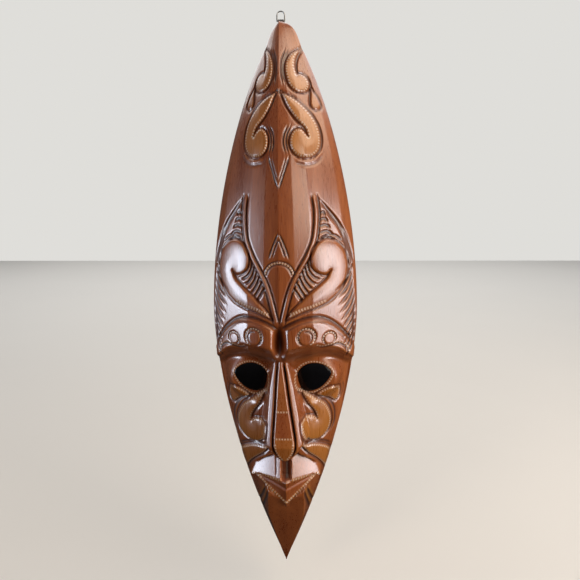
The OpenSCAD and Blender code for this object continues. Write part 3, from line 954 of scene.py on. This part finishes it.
def plated_steel():
    """Zinc-plated steel: fine scratches, and darker where dust lies in its hollows."""
    made, tree, shader = material("plated hanger steel")
    wear = use_group(tree, "Wear, dust and sheen", wear_dust_and_sheen_group, {"Reach": 0.8, "Cloud Size": 700.0})
    place_at = node(tree, "ShaderNodeTexCoord").outputs["Object"]
    shape = node(tree, "ShaderNodeMapping", {"Vector": place_at, "Scale": (5000.0, 5000.0, 300.0)})
    scratch = node(tree, "ShaderNodeTexNoise", {"Vector": shape.outputs[0], "Scale": 1.0,
                                                "Detail": 3.0}).outputs["Fac"]
    tone = blend_colour(tree, scratch, (0.42, 0.41, 0.38, 1.0), (0.66, 0.64, 0.6, 1.0))
    colour = blend_colour(tree, wear.outputs["Dust"], tone, (0.16, 0.14, 0.12, 1.0))
    bump = node(tree, "ShaderNodeBump", {"Height": scratch, "Strength": 0.15, "Distance": 0.0001})
    tree.links.new(colour, shader.inputs["Base Color"])
    tree.links.new(span(tree, scratch, 0.2, 0.8, 0.28, 0.5), shader.inputs["Roughness"])
    tree.links.new(bump.outputs["Normal"], shader.inputs["Normal"])
    shader.inputs["Metallic"].default_value = 1.0
    return made


def floor_paint(colour):
    made, tree, shader = material("pale floor")
    place_at = node(tree, "ShaderNodeTexCoord").outputs["Object"]
    cloud = node(tree, "ShaderNodeTexNoise", {"Vector": place_at, "Scale": 3.0}).outputs["Fac"]
    tone = blend_colour(tree, cloud, four([0.97 * c for c in colour]), four(colour))
    tree.links.new(tone, shader.inputs["Base Color"])
    shader.inputs["Roughness"].default_value = 0.8
    return made


# ---- Light ----------------------------------------------------------------------------------

# Name, place in metres, point faced, width, height, watts, colour, whether it lights
# matt surfaces and whether it's mirrored. The windows stand nearly in the wall plane, so
# the middle of the mask stays dark.
LAMPS = (
    ("left window", (-1.05, -0.34, -0.31), (0, 0, -0.26), 0.45, 0.44, 7.6, (0.72, 0.84, 1.0),
     False, True),
    ("left glow", (-0.75, -0.80, 0.10), (0, 0, -0.28), 0.40, 0.40, 3.0, (1.0, 0.84, 0.68),
     True, False),
    ("right window", (1.05, -0.40, -0.28), (0, 0, -0.26), 0.45, 0.50, 5.2, (1.0, 0.97, 0.98),
     True, True),
    ("warm lamp", (0.86, -0.70, 0.04), (0, 0, -0.28), 0.50, 0.50, 2.4, (1.0, 0.86, 0.70),
     True, True),
    ("side lamp", (1.00, -0.24, 0.75), (0, 0, -0.25), 0.90, 0.90, 7, (1.0, 0.80, 0.60),
     True, True),
    ("floor lamp", (0.0, 2.0, 1.6), (0, 2.001, -0.5), 5.0, 3.3, 80, (1.0, 1.0, 1.0),
     True, True),
)


def hang_lamp(scene, share, name, at, faces, wide, tall, watts, colour, matt, mirrored):
    """An area light, its height upright, turned to face a point."""
    data = bpy.data.lights.new(name, "AREA")
    data.shape = "RECTANGLE"
    data.size, data.size_y = wide, tall
    data.energy = watts * share
    data.color = colour
    lamp = bpy.data.objects.new(name, data)
    lamp.location = at
    lamp.rotation_euler = (Vector(faces) - Vector(at)).to_track_quat("-Z", "Y").to_euler()
    lamp.visible_diffuse, lamp.visible_glossy = matt, mirrored
    scene.collection.objects.link(lamp)


def studio_world(look):
    """A pale background to look at, and a dimmer one, darkest below, to light by."""
    world = bpy.data.worlds.new("studio")
    world.use_nodes = True
    tree = world.node_tree
    seen = tree.nodes["Background"]
    seen.inputs["Color"].default_value = four(look.background)
    way = node(tree, "ShaderNodeSeparateXYZ",
               {0: node(tree, "ShaderNodeTexCoord").outputs["Generated"]}).outputs["Z"]
    sky = blend_colour(tree, span(tree, way, -0.4, 0.9), (0.10, 0.09, 0.08, 1), (0.5, 0.5, 0.52, 1))
    lit = node(tree, "ShaderNodeBackground", {"Color": sky, "Strength": look.fill})
    straight = node(tree, "ShaderNodeLightPath").outputs["Is Camera Ray"]
    both = node(tree, "ShaderNodeMixShader", {0: straight, 1: lit.outputs[0], 2: seen.outputs[0]})
    tree.links.new(both.outputs[0], tree.nodes["World Output"].inputs["Surface"])
    return world


# ---- Settings -------------------------------------------------------------------------------

def colour_setting(name, description, default):
    return FloatVectorProperty(name=name, description=description, default=default,
                               subtype="COLOR", size=3, min=0, max=1)


class MaskLook(bpy.types.PropertyGroup):
    stain: colour_setting("Stain", "Light streaks of the stained wood", (0.54, 0.16, 0.04))
    deep_stain: colour_setting("Deep stain", "Dark streaks of the stained wood", (0.27, 0.056, 0.01))
    ochre: colour_setting("Ochre", "Light streaks of the raised panels", (0.70, 0.27, 0.055))
    deep_ochre: colour_setting("Deep ochre", "Dark streaks of the raised panels", (0.46, 0.15, 0.02))
    # This near-black also paints the shade in the cleft and on the chin's left bevel, and the shadows
    # under the brows and the nose.
    cut_stain_and_painted_shade: colour_setting("Cuts", "Stain gathered in the cuts", (0.028, 0.006, 0.003))
    bare_wood: colour_setting("Bare wood", "Fresh wood in the chip notches", (0.86, 0.60, 0.42))
    raw_light: colour_setting("Back, light", "Light streaks of the bare back", (0.34, 0.17, 0.075))
    raw_dark: colour_setting("Back, dark", "Dark streaks of the bare back", (0.15, 0.06, 0.025))
    chip_pitch: FloatProperty(name="Notch pitch", description="From one chip notch to the next, in mm",
                              default=2.4, min=1, max=5)
    varnish: FloatProperty(name="Varnish", description="Weight of the clear coat", default=0.9,
                           min=0, max=1, subtype="FACTOR")


class StageLook(bpy.types.PropertyGroup):
    floor: colour_setting("Floor", "Colour of the floor", (0.78, 0.76, 0.72))
    camera_at: FloatVectorProperty(name="Camera", description="Where the camera stands",
                                   default=(0.0174, -0.395, -0.162), subtype="XYZ", unit="LENGTH")
    camera_turn: FloatVectorProperty(name="Camera turn", description="Turn about X, Y and Z",
                                     default=(radians(79.8), radians(0.19), radians(1.5)),
                                     subtype="EULER")
    background: colour_setting("Background", "Colour behind the mask", (0.74, 0.73, 0.70))
    fill: FloatProperty(name="Fill", description="Strength of the light from all round",
                        default=0.2, min=0, max=3)
    lens: FloatProperty(name="Lens", description="Focal length in mm", default=27.0, min=10, max=200)
    power: FloatProperty(name="Light", description="Share of the full light", default=1.0,
                         min=0, max=4, subtype="FACTOR")


# ---- Operators -----------------------------------------------------------------------------

class MASK_OT_carve(bpy.types.Operator):
    """Carve the wooden piece and varnish its front"""
    bl_idname = "mask.carve"
    bl_label = "Carve the mask"

    def execute(self, context):
        points, quads, caps, values, behind = mask_surface()
        piece = mesh_piece("carved_mask", points, quads, caps)
        for name, flat in values.items():
            add_value(piece.data, name, flat)
        look = context.scene.mask_look
        piece.data.materials.append(varnished_wood(look))
        piece.data.materials.append(raw_wood(look))
        index = np.zeros(len(piece.data.polygons), np.int32)
        index[:len(behind)] = behind
        piece.data.polygons.foreach_set("material_index", index)
        join_points(piece.data)
        piece.data.set_sharp_from_angle(angle=radians(75))
        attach(piece, "mask")
        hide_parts("mask_shell")
        return {"FINISHED"}


class MASK_OT_eyes(bpy.types.Operator):
    """Set the two domed black eyes in their pockets"""
    bl_idname = "mask.eyes"
    bl_label = "Set the eyes"

    def execute(self, context):
        glass = black_glass()
        for side, name in ((-1, "left"), (1, "right")):
            points, faces = eye_surface(side)
            piece = mesh_piece(f"{name}_eye", points, np.empty((0, 4), int), faces)
            piece.data.set_sharp_from_angle(angle=radians(60))
            piece.data.materials.append(glass)
            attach(piece, "mask")
            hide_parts(f"{name}_eye_inlay")
        return {"FINISHED"}


class MASK_OT_hanger(bpy.types.Operator):
    """Plate the strap, the loop and the screws"""
    bl_idname = "mask.hanger"
    bl_label = "Finish the hanger"

    def execute(self, context):
        steel = plated_steel()
        for name in ("hanger_strap", "hanger_ring", "hanger_screws"):
            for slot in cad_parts[name].material_slots:
                slot.material = steel
        return {"FINISHED"}


class MASK_OT_stage(bpy.types.Operator):
    """Lay the floor, hang the lights and stand the camera"""
    bl_idname = "mask.stage"
    bl_label = "Set the stage"

    def execute(self, context):
        look = context.scene.mask_stage
        scene = context.scene
        ways = np.array([(-1, -1), (1, -1), (1, 1), (-1, 1)])
        low = CAD_BOX[0][2] - FLOOR_DROP
        corners = np.c_[FLOOR_HALF * ways, np.full(len(ways), low)] / MM
        floor = mesh_piece("floor", corners, np.array([[0, 1, 2, 3]]), smooth=False)
        floor.data.materials.append(floor_paint(look.floor))
        floor.visible_glossy = False
        floor.visible_diffuse = False
        scene.world = studio_world(look)
        scene.view_settings.view_transform = "Standard"
        for lamp in LAMPS:
            hang_lamp(scene, look.power, *lamp)
        data = bpy.data.cameras.new("camera")
        data.lens = look.lens
        data.sensor_width = 36
        data.clip_start = 0.01
        camera = bpy.data.objects.new("camera", data)
        camera.location = look.camera_at
        camera.rotation_euler = look.camera_turn
        scene.collection.objects.link(camera)
        scene.camera = camera
        return {"FINISHED"}


class MASK_PT_panel(bpy.types.Panel):
    """The mask's pieces, in the order they are made"""
    bl_label = "Carved mask"
    bl_idname = "MASK_PT_panel"
    bl_space_type = "VIEW_3D"
    bl_region_type = "UI"
    bl_category = "Mask"

    def draw(self, context):
        for operator in OPERATORS:
            self.layout.operator(operator.bl_idname)
        for settings in (context.scene.mask_look, context.scene.mask_stage):
            for key in settings.bl_rna.properties.keys():
                if key not in ("rna_type", "name"):
                    self.layout.prop(settings, key)


OPERATORS = (MASK_OT_stage, MASK_OT_carve, MASK_OT_eyes, MASK_OT_hanger)
CLASSES = (MaskLook, StageLook) + OPERATORS + (MASK_PT_panel,)


def register():
    for made in CLASSES:
        bpy.utils.register_class(made)
    bpy.types.Scene.mask_look = PointerProperty(type=MaskLook)
    bpy.types.Scene.mask_stage = PointerProperty(type=StageLook)


def unregister():
    del bpy.types.Scene.mask_stage
    del bpy.types.Scene.mask_look
    for made in reversed(CLASSES):
        bpy.utils.unregister_class(made)


def main():
    register()
    bpy.ops.mask.stage()
    bpy.ops.mask.carve()
    bpy.ops.mask.eyes()
    bpy.ops.mask.hanger()


if __name__ == "__main__":
    main()
